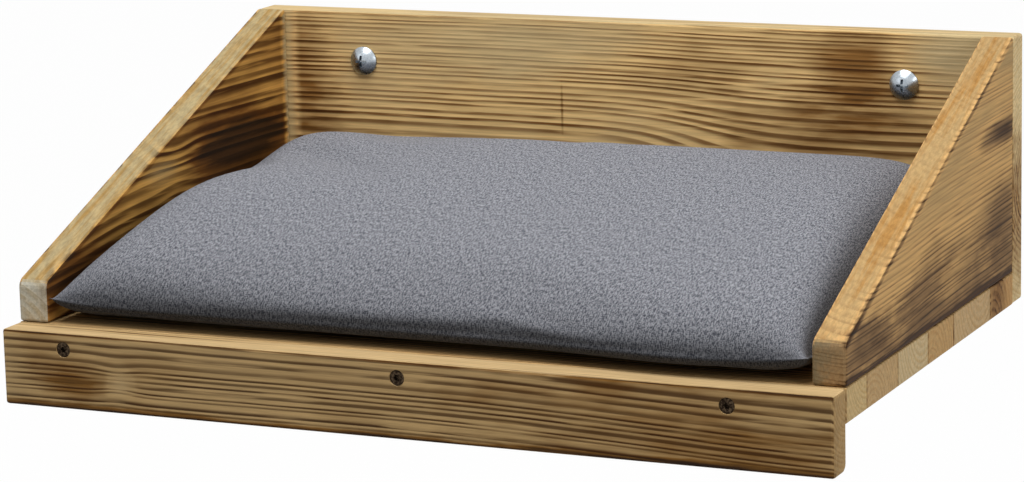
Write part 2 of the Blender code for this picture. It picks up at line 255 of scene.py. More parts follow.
# %% The tree ring group
ALONG_ACROSS = (0.0, 1.0, 1.0)  # a ring lies across the trunk, so only Y and Z count
WAVE_STRETCH = (2.4, 9.0, 9.0)  # waves are long along the trunk and short across it
FIBRE_STRETCH = (22.0, 620.0, 620.0)
GAP_STRETCH = (16.0, 260.0, 260.0)  # where a dark line fades for a while
GAP_LEVELS, GAP_REST = (0.30, 0.52), 0.30  # the noise that brings it back, and what stays of it
DRIFT_EVERY, DRIFT = 0.43, 1.5  # good and bad years: how often they turn, and by how many rings
DARK_SPAN, PALE_FROM = 0.42, 0.84  # how long a ring darkens, and when it pales, in years
HALF = (0.5, 0.5, 0.5)


def make_ring_group():
    takes = {
        "vector": "Vector, Pith, Lean, Bend, Knot, Knot Size",
        "value": "Ring Width, Dark From, Ageing, Waviness, Bend Place, Bend Reach, Knot Pull",
    }
    gives = {"value": "Latewood, Ring Shade, Fibre"}
    tree, given, result = new_group("tree_rings", takes, gives)
    place = given["Vector"]
    along = coordinate(tree, place, "X")

    from_knot = vectors(tree, "SUBTRACT", place, given["Knot"])
    in_knots = vectors(tree, "DIVIDE", from_knot, given["Knot Size"])
    apart = vectors(tree, "DOT_PRODUCT", in_knots, in_knots)
    nearness = maths(tree, "EXPONENT", maths(tree, "MULTIPLY", apart, -1.0))
    pull = maths(tree, "MULTIPLY", nearness, given["Knot Pull"])
    place = vectors(tree, "ADD", place, vectors(tree, "SCALE", from_knot, pull))

    past_bend = maths(tree, "SUBTRACT", along, given["Bend Place"])
    bent = maths(tree, "TANH", maths(tree, "DIVIDE", past_bend, given["Bend Reach"]))
    for direction, share in ((given["Lean"], along), (given["Bend"], bent)):
        place = vectors(tree, "SUBTRACT", place, vectors(tree, "SCALE", direction, share))
    place = vectors(tree, "SUBTRACT", place, given["Pith"])
    waves = noise(tree, given["Vector"], WAVE_STRETCH, 3.0, output="Color")
    waves = vectors(tree, "SUBTRACT", waves, HALF)
    waves = vectors(tree, "SCALE", waves, given["Waviness"])
    place = vectors(tree, "MULTIPLY", vectors(tree, "ADD", place, waves), ALONG_ACROSS)

    radius = vectors(tree, "LENGTH", place)
    ageing = maths(tree, "MULTIPLY_ADD", radius, given["Ageing"], 1.0)
    rings = maths(tree, "MULTIPLY", maths(tree, "DIVIDE", radius, given["Ring Width"]), ageing)
    drift = noise(tree, rings, DRIFT_EVERY, 1.0, noise_dimensions="1D")
    rings = maths(tree, "MULTIPLY_ADD", drift, DRIFT, rings)
    season = maths(tree, "FRACT", rings)
    dark_to = maths(tree, "ADD", given["Dark From"], DARK_SPAN)
    darkening = ramp_between(tree, season, given["Dark From"], dark_to)
    paling = ramp_between(tree, season, PALE_FROM, 1.0, 1.0, 0.0)
    gaps = noise(tree, given["Vector"], GAP_STRETCH, 2.0, 0.6)
    gaps = ramp_between(tree, gaps, *GAP_LEVELS, GAP_REST, 1.0)
    line = maths(tree, "MULTIPLY", darkening, maths(tree, "MULTIPLY", paling, gaps))
    shade = add_node(tree, "ShaderNodeTexWhiteNoise", noise_dimensions="1D")
    plug_in(tree, shade.inputs["W"], maths(tree, "FLOOR", rings))
    plug_in(tree, result["Latewood"], line)
    plug_in(tree, result["Ring Shade"], shade.outputs["Value"])
    plug_in(tree, result["Fibre"], noise(tree, given["Vector"], FIBRE_STRETCH, 4.0, 0.65))
    return tree


ring_group = make_ring_group()
print(ring_group.name, "has", len(ring_group.nodes), "nodes")

# %% [markdown]
# ## Scorching
# After the boards were cut, a gas flame was drawn over them: most of a wide face turns a toasted
# brown, and where the flame rested the wood is charred. Such clouds are smooth noise, stretched a
# little along the board. The marks that catch the eye in the picture are put where they are, as
# soft ovals, and as lines along the corners, which burn first. Both have the same ragged rim.

# %% The flame cloud and scorch mark groups
CLOUD_LEVELS = (0.36, 0.68)  # the noise between no toasting and all of it
RIM_STRETCH = (24.0, 110.0, 110.0)  # a scorched rim runs out along the grain
RIM_FROM, RIM_TO = 0.05, 1.25  # where the rim starts and ends, in sizes of the mark
STREAK_STRETCH = (9.0, 330.0, 330.0)
STREAK_LEVELS, STREAK_DEPTHS = (0.30, 0.62), (0.72, 1.06)  # a burn is deeper in some fibres


def make_cloud_group():
    takes = {"vector": "Vector, Stretch, Shift"}
    tree, given, result = new_group("flame_clouds", takes, {"value": "Cloud"})
    place = vectors(tree, "MULTIPLY", given["Vector"], given["Stretch"])
    place = vectors(tree, "ADD", place, given["Shift"])
    wide = noise(tree, place, 1.0, 3.0, 0.55)
    plug_in(tree, result["Cloud"], ramp_between(tree, wide, *CLOUD_LEVELS))
    return tree


def soft_rim(tree, reach, given):
    """1 inside, 0 outside, and a rim between them that frays along the grain."""
    fray = noise(tree, given["Grain"], RIM_STRETCH, 3.0, 0.6)
    fray = maths(tree, "MULTIPLY", maths(tree, "SUBTRACT", fray, 0.5), given["Fray"])
    mask = ramp_between(tree, maths(tree, "ADD", reach, fray), RIM_FROM, RIM_TO, 1.0, 0.0)
    streaks = noise(tree, given["Grain"], STREAK_STRETCH, 2.0, 0.6)
    streaks = ramp_between(tree, streaks, *STREAK_LEVELS, *STREAK_DEPTHS)
    return maths(tree, "MULTIPLY", mask, streaks)


def make_spot_group():
    """An oval burn round a centre."""
    takes = {"vector": "Vector, Grain, Centre, Size", "value": "Fray"}
    tree, given, result = new_group("scorch_spot", takes, {"value": "Mask"})
    offset = vectors(tree, "SUBTRACT", given["Vector"], given["Centre"])
    reach = vectors(tree, "LENGTH", vectors(tree, "DIVIDE", offset, given["Size"]))
    plug_in(tree, result["Mask"], soft_rim(tree, reach, given))
    return tree


def make_arris_group():
    """A burn along a straight corner, from a point on it and the way it runs."""
    takes = {"vector": "Vector, Grain, Point, Way", "value": "Width, Fray"}
    tree, given, result = new_group("scorch_arris", takes, {"value": "Mask"})
    offset = vectors(tree, "SUBTRACT", given["Vector"], given["Point"])
    along = vectors(tree, "DOT_PRODUCT", offset, given["Way"])
    aside = vectors(tree, "SUBTRACT", offset, vectors(tree, "SCALE", given["Way"], along))
    reach = maths(tree, "DIVIDE", vectors(tree, "LENGTH", aside), given["Width"])
    plug_in(tree, result["Mask"], soft_rim(tree, reach, given))
    return tree


cloud_group = make_cloud_group()
spot_group = make_spot_group()
arris_group = make_arris_group()
print("scorching:", cloud_group.name, spot_group.name, arris_group.name)

# %% [markdown]
# ## The colour of flamed pine
# Fresh pine is pale yellow with soft orange lines of resin. A flame toasts it: the lines turn dark
# brown and the wood between them golden. Where it stays, both turn a deep warm brown, and at last
# black. A single mix from pale to black would look like grey smoke, so the colour goes through
# these four in turn, by how much the place was burnt. End grain drinks the light: it is greyer.
# The brush that follows the flame leaves the lines standing a little proud, which goes into the
# height.

# %% The flamed pine group
RESIN_TINT = srgb(238, 208, 160)  # what a line of resin does to fresh pine
BROWNED_LINES = srgb(128, 106, 84)  # the lines of browned wood, against the wood between them
CHARRED_EARLY, CHARRED_LATE = srgb(66, 42, 20), srgb(30, 19, 10)
END_LINES = srgb(240, 229, 212)  # the lines on end grain, against the wood between them
FAINTEST_LINE = 0.60  # some years leave a fainter line than others
TOASTED_AT = 0.5  # the burn at which pine is fully toasted
CHAR_GAIN, CHAR_START = 1.7, -0.86  # from there it browns and chars, by gain * burn + start
LINES_CHAR, LINES_RESIN = 0.12, 0.14  # a line chars sooner, and holds more resin
END_SHARE, END_TOAST = 0.85, 0.6  # how far an end shows its own colour, and how far it toasts
TICK_LEVELS, TICK_SHADES = (0.30, 0.72), (0.82, 1.12)  # the fibres' own light and dark
WOOD_ROUGHNESS, FIBRE_ROUGHNESS, FIBRE_HEIGHT = 0.58, 0.20, 0.35


def make_flamed_pine_group():
    takes = {
        "value": "Latewood, Ring Shade, Fibre, Burn, End, Resin",
        "colour": "Fresh, Early, Late, Browned, End Grain",
    }
    gives = {"colour": "Color", "value": "Roughness, Height"}
    tree, given, result = new_group("flamed_pine", takes, gives)
    plugs = (given["Ring Shade"], 1.0 - FAINTEST_LINE, FAINTEST_LINE)
    late = maths(tree, "MULTIPLY", given["Latewood"], maths(tree, "MULTIPLY_ADD", *plugs))
    toast = ramp_between(tree, given["Burn"], 0.0, TOASTED_AT)
    char = maths(tree, "MULTIPLY_ADD", late, LINES_CHAR, given["Burn"])
    char = maths(tree, "MULTIPLY_ADD", char, CHAR_GAIN, CHAR_START, clamp=True)
    resin = maths(tree, "MULTIPLY_ADD", late, LINES_RESIN, given["Resin"], clamp=True)
    fresh = tinted(tree, given["Fresh"], mixed(tree, resin, WHITE, RESIN_TINT))
    toasted = mixed(tree, late, given["Early"], given["Late"])
    browned = tinted(tree, given["Browned"], mixed(tree, late, WHITE, BROWNED_LINES))
    charred = mixed(tree, late, CHARRED_EARLY, CHARRED_LATE)
    ends = tinted(tree, given["End Grain"], mixed(tree, late, WHITE, END_LINES))
    ends = mixed(tree, maths(tree, "MULTIPLY", toast, END_TOAST), ends, given["Late"])
    colour = mixed(tree, toast, fresh, toasted)
    colour = mixed(tree, maths(tree, "MULTIPLY", given["End"], END_SHARE), colour, ends)
    first_half = maths(tree, "MULTIPLY", char, 2.0, clamp=True)
    second_half = maths(tree, "MULTIPLY_ADD", char, 2.0, -1.0, clamp=True)
    colour = mixed(tree, second_half, mixed(tree, first_half, colour, browned), charred)
    ticks = ramp_between(tree, given["Fibre"], *TICK_LEVELS, *TICK_SHADES)
    plug_in(tree, result["Color"], tinted(tree, colour, ticks))
    plugs = (given["Fibre"], FIBRE_ROUGHNESS, WOOD_ROUGHNESS)
    plug_in(tree, result["Roughness"], maths(tree, "MULTIPLY_ADD", *plugs))
    plugs = (given["Fibre"], FIBRE_HEIGHT, late)
    plug_in(tree, result["Height"], maths(tree, "MULTIPLY_ADD", *plugs))
    return tree


pine_group = make_flamed_pine_group()
print(pine_group.name, "has", len(pine_group.nodes), "nodes")

# %% [markdown]
# ## One material for each board
# Every board was sawn from its own place in a tree, so each gets its own pith, lean and bend. Its
# trunk runs along X, and along Y in the two side panels. A wide face is told from an edge by its
# own normal: the wide faces met the flame, and the edges were planed or sanded after it.
#
# A board is described by a table: its rings, its colours, how its clouds lie and how far they
# toast it. Each of its spots is a centre, its reach each way, a fray and a depth, and each burnt
# arris is a point, the way it runs, a width and a depth. A negative depth is a place that stayed
# pale. A ring value that a table leaves out is 0: no knot, no bend, no ageing.

# %% Faces and resin streaks
WIDE_FACE, END_FACE, TOP_FACE = (0.55, 0.85), (0.6, 0.9), (0.5, 0.8)  # from no such face to one
AXES = {"X": (1.0, 0.0, 0.0), "Y": (0.0, 1.0, 0.0), "Z": (0.0, 0.0, 1.0)}
SLOPE = (0, 0.297, 0.117)  # the way a side panel's top rises
RESIN_ACROSS, RESIN_DOWN, RESIN_LEVELS = 210.0, 11.0, (0.42, 0.66)


def facing(tree, axis, limits):
    """1 where the surface looks along the axis, on either side, and 0 where it doesn't."""
    share = vectors(tree, "DOT_PRODUCT", object_normal(tree), AXES[axis])
    return ramp_between(tree, maths(tree, "ABSOLUTE", share), *limits)


def resin_streaks(tree, place, seed):
    """Streaks that run down a side panel's slope, where the saw cut the rings at a flat angle."""
    down = vectors(tree, "DOT_PRODUCT", place, Vector(SLOPE).normalized())
    down = maths(tree, "MULTIPLY", down, RESIN_DOWN)
    across = maths(tree, "MULTIPLY", coordinate(tree, place, "X"), RESIN_ACROSS)
    spot = add_node(tree, "ShaderNodeCombineXYZ", [across, down, seed]).outputs[0]
    streaks = ramp_between(tree, noise(tree, spot, 1.0, 4.0, 0.6), *RESIN_LEVELS)
    top = ramp_between(tree, coordinate(tree, object_normal(tree), "Z"), *TOP_FACE)
    return maths(tree, "MULTIPLY", streaks, top)


print("resin streaks are", round(1000 / RESIN_ACROSS, 1), "mm apart")

# %% The board material
WOOD_GLOSS = 0.12
BRUSH_STRENGTH, BRUSH_DEPTH = 0.6, 0.00022
TRUNK_TURN = {"X": 0.0, "Y": -pi / 2}


def burn_masks(tree, place, grain, board):
    """Each mark on a board as a mask and a depth."""
    for centre, size, fray, depth in board["spots"]:
        plugs = {"Vector": place, "Grain": grain, "Centre": centre, "Size": size, "Fray": fray}
        yield use_group(tree, spot_group, **plugs)["Mask"], depth
    for point, way, width, depth in board["arrises"]:
        plugs = {"Vector": place, "Grain": grain, "Point": point, "Way": Vector(way).normalized()}
        yield use_group(tree, arris_group, Width=width, Fray=1.0, **plugs)["Mask"], depth


def board_burn(tree, place, grain, board):
    """How much a board is burnt at each place: first by the clouds, then by each mark."""
    low, high = board["toast"]
    plugs = {"Vector": grain, "Stretch": board["stretch"], "Shift": board["shift"]}
    cloud = use_group(tree, cloud_group, **plugs)["Cloud"]
    flamed = maths(tree, "MULTIPLY_ADD", cloud, high - low, low)
    more = maths(tree, "SUBTRACT", flamed, board["edge"])
    wide = facing(tree, board["wide"], WIDE_FACE)
    burn = maths(tree, "MULTIPLY_ADD", more, wide, board["edge"])
    for mask, depth in burn_masks(tree, place, grain, board):
        if depth > 0:
            burn = maths(tree, "MULTIPLY_ADD", mask, depth, burn)
        else:
            burn = maths(tree, "MULTIPLY", burn, maths(tree, "MULTIPLY_ADD", mask, depth, 1.0))
    return burn


def board_material(name, board):
    """The flamed pine of one board, from what is known of its trunk and its burns."""
    material, tree, shader = new_material(name, Specular_IOR_Level=WOOD_GLOSS)
    place = object_place(tree)
    turn = add_node(tree, "ShaderNodeMapping", [place])
    turn.inputs["Rotation"].default_value = (0.0, 0.0, TRUNK_TURN[board["trunk"]])
    grain = turn.outputs[0]
    rings = use_group(tree, ring_group, Vector=grain, **board["rings"])
    finish = use_group(
        tree,
        pine_group,
        Latewood=rings["Latewood"],
        Ring_Shade=rings["Ring Shade"],
        Fibre=rings["Fibre"],
        Burn=board_burn(tree, place, grain, board),
        End=facing(tree, board["trunk"], END_FACE),
        Resin=resin_streaks(tree, place, board["resin"]) if "resin" in board else 0.0,
        Fresh=board["fresh"],
        Early=board["early"],
        Late=board["late"],
        Browned=board["browned"],
        End_Grain=board["end"],
    )
    plug_in(tree, shader.inputs["Base Color"], finish["Color"])
    plug_in(tree, shader.inputs["Roughness"], finish["Roughness"])
    add_bump(tree, shader, finish["Height"], BRUSH_STRENGTH, BRUSH_DEPTH)
    return material


def finish_board(node, name, board):
    """Make a board's material, put it on the board, and say what it took."""
    material = board_material(name, board)
    give_finish(nodes[node], material)
    marks = len(board["spots"]) + len(board["arrises"])
    print(node, "has", marks, "marks, in", len(material.node_tree.nodes), "nodes")


print("boards have a gloss of", WOOD_GLOSS, "and a brushed relief of", BRUSH_DEPTH * 1000, "mm")

# %% [markdown]
# ## The back panel
# Its upper half was sawn square to the rings, so the lines are level and 4 mm apart. Lower down
# the pith is near, and where the trunk bends away the lines sweep down to the right.

# %% Finish the back panel
OUTER, INNER = 0.250, 0.231  # the side panels' faces, from the middle
BACK_FACE = -0.019  # the back panel's front
SKIN = 0.02  # how far a mark reaches into the wood
STRIP, STRIP_HEIGHT = 0.0085, 0.30  # what a board covers of its neighbour while it is flamed
BACK = {
    "trunk": "X",
    "wide": "Y",
    "rings": {
        "Ring_Width": 0.0056,
        "Ageing": 7.0,
        "Dark_From": 0.24,
        "Pith": (0.0, 0.003, -0.058),
        "Bend": (0.0, 0.011, 0.002),
        "Bend_Place": 0.03,
        "Bend_Reach": 0.05,
        "Waviness": 0.006,
    },
    "fresh": srgb(208, 186, 140),
    "early": srgb(238, 200, 136),
    "late": srgb(122, 78, 36),
    "browned": srgb(150, 106, 54),
    "end": srgb(246, 220, 168),
    "stretch": (9.0, 14.0, 22.0),
    "shift": (0.0, 0.0, 0.0),
    "toast": (0.32, 0.56),
    "edge": 0.03,
    "spots": [
        ((0.152, BACK_FACE, 0.018), (0.036, SKIN, 0.050), 1.0, 0.26),
        ((0.045, BACK_FACE, 0.002), (0.050, SKIN, 0.030), 1.2, 0.14),
        ((-0.222, BACK_FACE, -0.012), (0.034, SKIN, 0.050), 1.0, 0.40),
        ((-0.170, BACK_FACE, -0.036), (0.090, SKIN, 0.020), 1.2, 0.10),
        ((0.155, BACK_FACE, -0.034), (0.130, SKIN, 0.030), 1.2, 0.28),
        ((-0.060, BACK_FACE, 0.016), (0.110, SKIN, 0.040), 1.2, -0.35),
        ((-0.0395, BACK_FACE, -0.024), (0.0012, SKIN, 0.020), 0.3, 0.26),
        ((OUTER, -0.010, -0.075), (SKIN, 0.03, 0.055), 0.8, 0.66),
        ((0.226, BACK_FACE, 0.022), (0.056, SKIN, 0.032), 0.6, -1.0),
        ((-INNER, BACK_FACE, 0.0), (STRIP, 0.01, STRIP_HEIGHT), 0.3, -0.7),
        ((INNER, BACK_FACE, 0.0), (STRIP, 0.01, STRIP_HEIGHT), 0.3, -0.7),
    ],
    "arrises": [((0.0, -0.0095, 0.031), (1, 0, 0), 0.0110, 0.20)],
}
finish_board("back_panel", "flamed_pine_back", BACK)

# %% [markdown]
# ## The front rail
# A batten that was cut close to the pith: wide arches along its top, and fine level lines below.

# %% Finish the front rail
RAIL_FACE = -0.340
RAIL = {
    "trunk": "X",
    "wide": "Y",
    "rings": {
        "Ring_Width": 0.0027,
        "Dark_From": 0.24,
        "Pith": (0.0, -0.318, -0.106),
        "Lean": (0.0, 0.0, 0.006),
        "Bend": (0.0, 0.0, -0.0068),
        "Bend_Place": 0.15,
        "Bend_Reach": 0.15,
        "Waviness": 0.005,
        "Knot": (-0.176, RAIL_FACE, -0.134),
        "Knot_Size": (0.013, 0.05, 0.010),
        "Knot_Pull": 0.40,
    },
    "fresh": srgb(208, 178, 130),
    "early": srgb(200, 166, 114),
    "late": srgb(64, 40, 20),
    "browned": srgb(134, 94, 44),
    "end": srgb(180, 148, 100),
    "stretch": (9.0, 14.0, 30.0),
    "shift": (3.1, 0.0, 0.7),
    "toast": (0.42, 0.60),
    "edge": 0.05,
    "spots": [
        ((-0.207, RAIL_FACE, -0.137), (0.030, SKIN, 0.013), 0.9, 0.42),
        ((-0.174, RAIL_FACE, -0.136), (0.010, SKIN, 0.013), 0.8, -0.55),
        ((-0.252, RAIL_FACE, -0.132), (0.018, SKIN, 0.030), 0.8, -0.5),
        ((0.170, RAIL_FACE, -0.140), (0.200, SKIN, 0.044), 1.4, 0.22),
        # this spot darkens the rear of the rail's top along its left part
        ((-0.170, -0.324, -0.110), (0.100, 0.008, 0.008), 1.0, 0.50),
    ],
    "arrises": [
        ((0.0, RAIL_FACE, -0.154), (1, 0, 0), 0.0040, 0.60),
        ((0.0, RAIL_FACE, -0.110), (1, 0, 0), 0.0018, 0.36),
    ],
}
finish_board("front_rail", "flamed_pine_rail", RAIL)

# %% [markdown]
# ## The side panels
# Their trunks run front to back. The flame rested low on the inside of the left one, and on the
# outside of the right one along its foot. Where a board was laid against them while they were
# flamed, a narrow strip stayed pale.

# %% Finish the side panels
SLOPE_TOP = (-0.0222, 0.0305)  # where the slopes meet the back panel
SIDE_LEFT = {
    "trunk": "Y",
    "wide": "X",
    "rings": {
        "Ring_Width": 0.0058,
        "Dark_From": 0.14,
        "Pith": (0.0, 0.262, -0.130),
        "Lean": (0.0, 0.0, -0.03),
        "Bend": (0.0, 0.0, 0.014),
        "Bend_Place": -0.27,
        "Bend_Reach": 0.09,
        "Waviness": 0.008,
        "Knot": (-0.165, INNER, -0.048),
        "Knot_Size": (0.022, 0.05, 0.016),
        "Knot_Pull": 0.5,
    },
    "resin": 2.0,
    "fresh": srgb(184, 168, 128),
    "early": srgb(214, 162, 84),
    "late": srgb(68, 38, 14),
    "browned": srgb(124, 80, 34),
    "end": srgb(212, 208, 192),
    "stretch": (8.0, 14.0, 16.0),
    "shift": (1.3, 5.0, 0.7),
    "toast": (0.46, 0.70),
    "edge": 0.10,
    "spots": [
        ((-INNER, -0.095, -0.046), (SKIN, 0.110, 0.026), 1.0, 0.34),
        ((-INNER, -0.080, -0.043), (SKIN, 0.070, 0.016), 0.8, 0.40),
        ((-INNER, -0.280, -0.090), (0.008, 0.090, 0.022), 0.8, 0.30),
        ((-INNER, -0.180, -0.046), (SKIN, 0.034, 0.012), 0.8, -0.45),
        ((-INNER, BACK_FACE, 0.0), (0.01, STRIP, STRIP_HEIGHT), 0.3, -0.95),
    ],
    "arrises": [
        ((-INNER, *SLOPE_TOP), SLOPE, 0.0020, 0.20),
        ((-OUTER, *SLOPE_TOP), SLOPE, 0.0022, 0.55),
    ],
}
SIDE_RIGHT = {
    "trunk": "Y",
    "wide": "X",
    "rings": {
        "Ring_Width": 0.0029,
        "Dark_From": 0.36,
        "Pith": (0.0, -0.262, 0.090),
        "Lean": (0.0, 0.0, 0.01),
        "Bend": (0.0, 0.0, 0.002),
        "Bend_Place": -0.2,
        "Bend_Reach": 0.04,
        "Waviness": 0.007,
    },
    "resin": 7.0,
    "fresh": srgb(188, 157, 108),
    "early": srgb(222, 178, 116),
    "late": srgb(166, 126, 82),
    "browned": srgb(146, 114, 76),
    "end": srgb(106, 105, 88),
    "stretch": (8.0, 14.0, 16.0),
    "shift": (7.3, 1.0, 2.7),
    "toast": (0.30, 0.62),
    "edge": 0.12,
    "spots": [
        ((OUTER, -0.130, -0.030), (SKIN, 0.160, 0.040), 1.0, -0.40),
        ((OUTER, -0.046, -0.021), (SKIN, 0.056, 0.011), 0.6, 0.66),
        ((OUTER, -0.034, -0.084), (SKIN, 0.060, 0.044), 1.2, 0.34),
        ((OUTER, -0.160, -0.106), (SKIN, 0.260, 0.032), 1.3, 0.26),
        ((OUTER, -0.190, -0.078), (SKIN, 0.070, 0.040), 1.4, 0.16),
        ((OUTER, -0.312, -0.098), (SKIN, 0.080, 0.032), 1.2, 0.34),
        ((OUTER, -0.030, 0.022), (SKIN, 0.060, 0.016), 0.9, -0.9),
        ((INNER, BACK_FACE, 0.0), (0.01, STRIP, STRIP_HEIGHT), 0.3, -0.95),
    ],
    "arrises": [
        ((OUTER, -0.180, -0.109), (0, 1, 0), 0.0046, 0.50),
        ((OUTER, *SLOPE_TOP), SLOPE, 0.0030, 0.52),
        ((INNER, *SLOPE_TOP), SLOPE, 0.0020, 0.50),
    ],
}
finish_board("side_panel_left", "flamed_pine_side_left", SIDE_LEFT)
finish_board("side_panel_right", "flamed_pine_side_right", SIDE_RIGHT)

# %% [markdown]
# ## The bed
# The bed is glued up from six staves. Each was cut from another place, so at the right end every
# stave shows its own arcs. The end grain stayed pale.

# %% Finish the bed staves
STAVE_ENDS = [srgb(218, 190, 138), srgb(206, 172, 124), srgb(222, 198, 154), srgb(208, 168, 114)]
STAVE_ENDS += [srgb(216, 184, 138), srgb(206, 160, 104)]
DARKEST_SEAM = 5  # the flame crept into the seam before this stave
PITH_ACROSS, PITH_UP = 0.012, 0.016  # from a stave's middle, to either side in turn
for number, end in enumerate(STAVE_ENDS, 1):
    low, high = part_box(f"bed_stave_{number}")
    middle = (low + high) / 2
    side = 1 if number % 2 else -1
    seam_depth = 0.70 if number == DARKEST_SEAM else 0.34
    stave = {
        "trunk": "X",
        "wide": "Z",
        "rings": {
            "Ring_Width": 0.0026 + 0.0004 * number,
            "Dark_From": 0.30,
            "Pith": (0.0, middle.y + PITH_ACROSS * side, middle.z + PITH_UP * side),
            "Lean": (0.0, 0.02 * side, 0.01),
            "Waviness": 0.005,
        },
        "fresh": srgb(200, 172, 124),
        "early": srgb(198, 160, 106),
        "late": srgb(100, 68, 38),
        "browned": srgb(132, 92, 50),
        "end": end,
        "stretch": (8.0, 14.0, 14.0),
        "shift": (1.7 * number, 0.0, 0.0),
        "toast": (0.34, 0.62),
        "edge": 0.10,
        "spots": [((OUTER, -0.050, -0.119), (SKIN, 0.018, 0.030), 0.8, 0.66)],
        "arrises": [((OUTER, low.y, low.z), (0, 0, 1), 0.0014, seam_depth)],
    }
    finish_board(f"bed_stave_{number}", f"flamed_pine_stave_{number}", stave)

# %% [markdown]
# ## Screws
# A screw's head is a disc with a recess. Instead of cutting the recess out, the head grows from
# it: its outline is one loop, the rim is another, the two are bridged, and the loops between are
# lifted onto the dome. Then the recess is sunk by pushing its loop down. The faces all run from
# recess to rim, so a polished dome shades without a kink. The shank follows the same way: the rim
# is pushed on, narrower each time. The thread is a small triangle, turned and raised by spin.

# %% Loops for the screws
AROUND = 48
TURNS = [2 * pi * (i + 0.5) / AROUND for i in range(AROUND)]


def circle(turn, radius):
    return radius


def six_lobed(turn, radius, swell):
    return radius + swell * cos(6 * turn)


def crossed_slots(turn, span, slot):
    """The reach of a cross of two slots from its centre, at this turn."""
    along, across = sorted((abs(cos(turn)), abs(sin(turn))), reverse=True)
    return min(span / 2 / along, slot / 2 / across)


def add_loop(bm, height, reach, *sizes):
    """A closed loop of edges at this height, as far out at each turn as reach says."""
    verts = []
    for turn in TURNS:
        r = reach(turn, *sizes)
        verts.append(bm.verts.new((r * cos(turn), r * sin(turn), height)))
    return [bm.edges.new(pair) for pair in zip(verts, verts[1:] + verts[:1])]


def push_loop(bm, loop, height, scale):
    """Extrude a loop of edges, then move the new one along Z and widen or narrow it."""
    made = bmesh.ops.extrude_edge_only(bm, edges=loop)["geom"]
    verts = [part for part in made if isinstance(part, bmesh.types.BMVert)]
    bmesh.ops.translate(bm, vec=(0, 0, height), verts=verts)
    bmesh.ops.scale(bm, vec=(scale, scale, 1), verts=verts)
    edges = [part for part in made if isinstance(part, bmesh.types.BMEdge)]
    return [edge for edge in edges if set(edge.verts) <= set(verts)]


print("loops of", AROUND, "points for the screws")

# %% Grow a screw and its thread
HEAD_RINGS = 7
AT_RIM = 0.99  # from this share of its radius on, a head's edge is its rim
THREAD_STEPS = 16
SHARP_FROM, NEVER_SHARP = 35, 180  # degrees between two faces
THREAD_FOOT = 0.32  # half the width of a thread's foot, as a share of its pitch
THREAD_SUNK = 0.96  # the foot lies a little inside the shank, as a share of its radius


def grow_screw(recess, recess_depth, recess_taper, dome, profile):
    """A screw along Z, head up. profile has (radius, height) from the head's rim to the point."""
    bm = bmesh.new()
    (rim_radius, rim_height), *rest = profile
    opening = add_loop(bm, rim_height, *recess)
    rim = add_loop(bm, rim_height, circle, rim_radius)
    loops = set(opening + rim)
    bmesh.ops.bridge_loops(bm, edges=opening + rim)
    spokes = [edge for edge in bm.edges if edge not in loops]
    bmesh.ops.subdivide_edges(bm, edges=spokes, cuts=HEAD_RINGS, use_grid_fill=True)
    for vert in bm.verts:
        share = vert.co.xy.length / rim_radius
        vert.co.z = rim_height + dome * (1 - share * share)
    ends = [edge for edge in bm.edges if edge.is_boundary]
    rim = [edge for edge in ends if edge.verts[0].co.xy.length > rim_radius * AT_RIM]
    opening = [edge for edge in ends if edge not in rim]
    floor = push_loop(bm, opening, -recess_depth, recess_taper)
    bmesh.ops.edgeloop_fill(bm, edges=floor)
    loop, radius, height = rim, rim_radius, rim_height
    for next_radius, next_height in rest:
        loop = push_loop(bm, loop, next_height - height, next_radius / radius)
        radius, height = next_radius, next_height
    bmesh.ops.edgeloop_fill(bm, edges=loop)
    bmesh.ops.recalc_face_normals(bm, faces=bm.faces)
    return bm


def wind_thread(bm, radius, depth, pitch, foot, turns):
    """Wind a ridge round the shank, from its foot upwards."""
    half, sunk = pitch * THREAD_FOOT, radius * THREAD_SUNK
    corners = [(sunk, -half), (radius + depth, 0), (sunk, half)]
    verts = [bm.verts.new((r, 0, foot + z)) for r, z in corners]
    edges = [bm.edges.new(pair) for pair in zip(verts, verts[1:] + verts[:1])]
    before = set(bm.faces)
    spun = bmesh.ops.spin(
        bm,
        geom=verts + edges,
        cent=(0, 0, 0),
        axis=(0, 0, 1),
        dvec=(0, 0, pitch / THREAD_STEPS),
        angle=2 * pi * turns,
        steps=THREAD_STEPS * turns,
        use_merge=False,
    )["geom_last"]
    for end in (edges, [part for part in spun if isinstance(part, bmesh.types.BMEdge)]):
        bmesh.ops.edgeloop_fill(bm, edges=end)
    bmesh.ops.recalc_face_normals(bm, faces=[face for face in bm.faces if face not in before])


def finish_mesh(name, bm, sharp=SHARP_FROM):
    """An object of this bmesh, at the origin, smooth but for edges that turn by sharp or more."""
    mesh = bpy.data.meshes.new(name)
    bm.to_mesh(mesh)
    bm.free()
    mesh.shade_smooth()
    mesh.set_sharp_from_angle(angle=radians(sharp))
    obj = bpy.data.objects.new(name, mesh)
    bpy.context.scene.collection.objects.link(obj)
    return obj


print("a turn of thread has", THREAD_STEPS, "steps; edges are sharp from", SHARP_FROM, "degrees")

# %% [markdown]
# ## Screw steel
# The wood screws are dark, phosphated steel, dull from oil and worn in patches. The wall screws are
# zinc plated: bright, slightly blue, with fine marks. Both are one metal shader whose colour and
# roughness vary by noise, and only the values differ.

# %% The two steels
DULL, DULL_WORN = srgb(34, 25, 18), srgb(84, 70, 54)
ZINC, ZINC_WORN = srgb(176, 184, 190), srgb(160, 168, 176)
WORN_SCALE, WORN_LEVELS = 900.0, (0.42, 0.66)
MARKS_ROUGHNESS, MARKS_STRENGTH, MARKS_DEPTH = 0.16, 0.25, 0.00004


